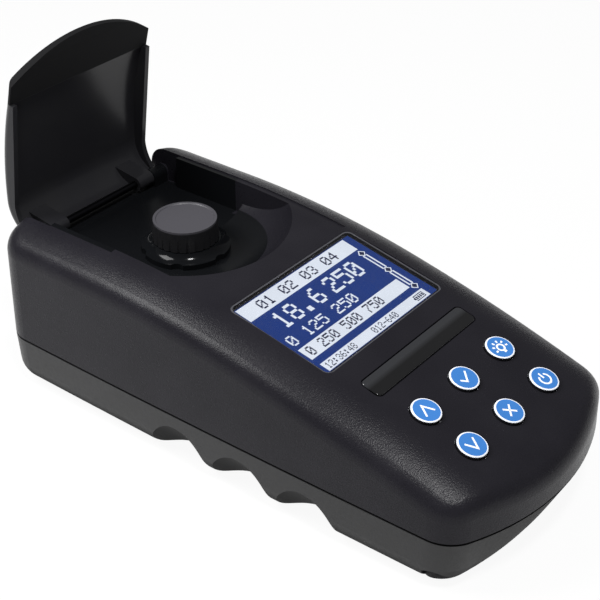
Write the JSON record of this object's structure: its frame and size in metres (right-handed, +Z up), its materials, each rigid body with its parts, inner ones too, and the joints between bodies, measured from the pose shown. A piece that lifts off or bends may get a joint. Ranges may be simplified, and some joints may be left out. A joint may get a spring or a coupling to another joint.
{
  "type": "turbidity meter",
  "caption": "Hand-held turbidity meter with an arched hinged lid over a capped sample vial, a display window, a keypad and finger grips along the base.",
  "frame": {"origin": "centre of the case's outline on the surface it lies on", "axes": "+Y from the keypad end to the lid end, +Z up, +X to the right seen from the keypad end"},
  "size_m": [0.0884, 0.1965, 0.1139],
  "materials": {
    "shell_black": "spark-eroded",
    "shell_grey": "satin",
    "seal_black": "matte",
    "foot_rubber": "matte",
    "lid_black": "satin gloss",
    "window_clear": "polished",
    "lcd_blue": "polished",
    "light_guide": "frosted",
    "foam": "matte",
    "steel": "plain",
    "board_green": "solder mask",
    "badge_gloss": "gloss",
    "button_blue": "satin",
    "optics_black": "matte",
    "lamp_clear": "clear",
    "glass_clear": "polished",
    "ring_black": "satin gloss",
    "cap_black": "satin",
    "liner_white": "smooth",
    "battery_wrap": "film"
  },
  "bodies": {
    "case": {"top_shell": "shell_black", "bottom_shell": "shell_grey", "shell_gasket": "seal_black", "case_screws": "steel", "foot_front_left": "foot_rubber", "foot_front_right": "foot_rubber", "foot_rear_left": "foot_rubber", "foot_rear_right": "foot_rubber", "hinge_pin": "steel", "display_window": "window_clear", "lcd_gasket": "foam", "lcd_glass": "lcd_blue", "lcd_backlight": "light_guide", "lcd_frame": "steel", "lcd_board": "board_green", "lcd_screws": "steel", "badge_plate": "badge_gloss", "keypad_board": "board_green", "key_domes": "steel", "keypad_screws": "steel", "optics_base": "optics_black", "optics_block": "optics_black", "optics_screws": "steel", "lamp": "lamp_clear", "source_lens": "glass_clear", "detector_through": "steel", "detector_side": "steel", "vial_pad": "foam", "main_board": "board_green", "board_screws": "steel", "battery_pad": "foam", "battery_pack": "battery_wrap", "socket_board": "board_green", "charging_socket": "steel"},
    "lid": {"lid_shell": "lid_black"},
    "vial": {"vial_glass": "glass_clear", "positioning_ring": "ring_black"},
    "cap_seal": {"cap_liner": "liner_white"},
    "cap": {"vial_cap": "cap_black"},
    "button_up_key": {"button_up": "button_blue"},
    "button_enter_key": {"button_enter": "button_blue"},
    "button_light_key": {"button_light": "button_blue"},
    "button_down_key": {"button_down": "button_blue"},
    "button_exit_key": {"button_exit": "button_blue"},
    "button_power_key": {"button_power": "button_blue"}
  },
  "joints": [
    {"name": "lid_hinge", "type": "hinge", "parent": "case", "child": "lid", "pos_m": [0, 0.0884, 0.0504], "axis": [-1, 0, 0], "range_deg": [-82, 0]},
    {"name": "vial_lift", "type": "slide", "parent": "case", "child": "vial", "axis": [0, 0, 1], "range_m": [0, 0.055]},
    {"name": "cap_lift", "type": "slide", "parent": "vial", "child": "cap_seal", "axis": [0, 0, 1], "range_m": [0, 0.004]},
    {"name": "cap_turn", "type": "hinge", "parent": "cap_seal", "child": "cap", "pos_m": [0, 0.049, 0.055], "axis": [0, 0, 1], "range_deg": [0, 450]},
    {"name": "press_up", "type": "slide", "parent": "case", "child": "button_up_key", "axis": [0, 0.2697, -0.9629], "range_m": [0, 0.0006], "stiffness_N_per_m": 600},
    {"name": "press_enter", "type": "slide", "parent": "case", "child": "button_enter_key", "axis": [0, 0.2697, -0.9629], "range_m": [0, 0.0006], "stiffness_N_per_m": 600},
    {"name": "press_light", "type": "slide", "parent": "case", "child": "button_light_key", "axis": [0, 0.2697, -0.9629], "range_m": [0, 0.0006], "stiffness_N_per_m": 600},
    {"name": "press_down", "type": "slide", "parent": "case", "child": "button_down_key", "axis": [0, 0.2951, -0.9555], "range_m": [0, 0.0006], "stiffness_N_per_m": 600},
    {"name": "press_exit", "type": "slide", "parent": "case", "child": "button_exit_key", "axis": [0, 0.2951, -0.9555], "range_m": [0, 0.0006], "stiffness_N_per_m": 600},
    {"name": "press_power", "type": "slide", "parent": "case", "child": "button_power_key", "axis": [0, 0.2951, -0.9555], "range_m": [0, 0.0006], "stiffness_N_per_m": 600}
  ],
  "couplings": [
    {"joint": "cap_lift", "follows": "cap_turn", "m_per_rad": 0.0005093}
  ]
}
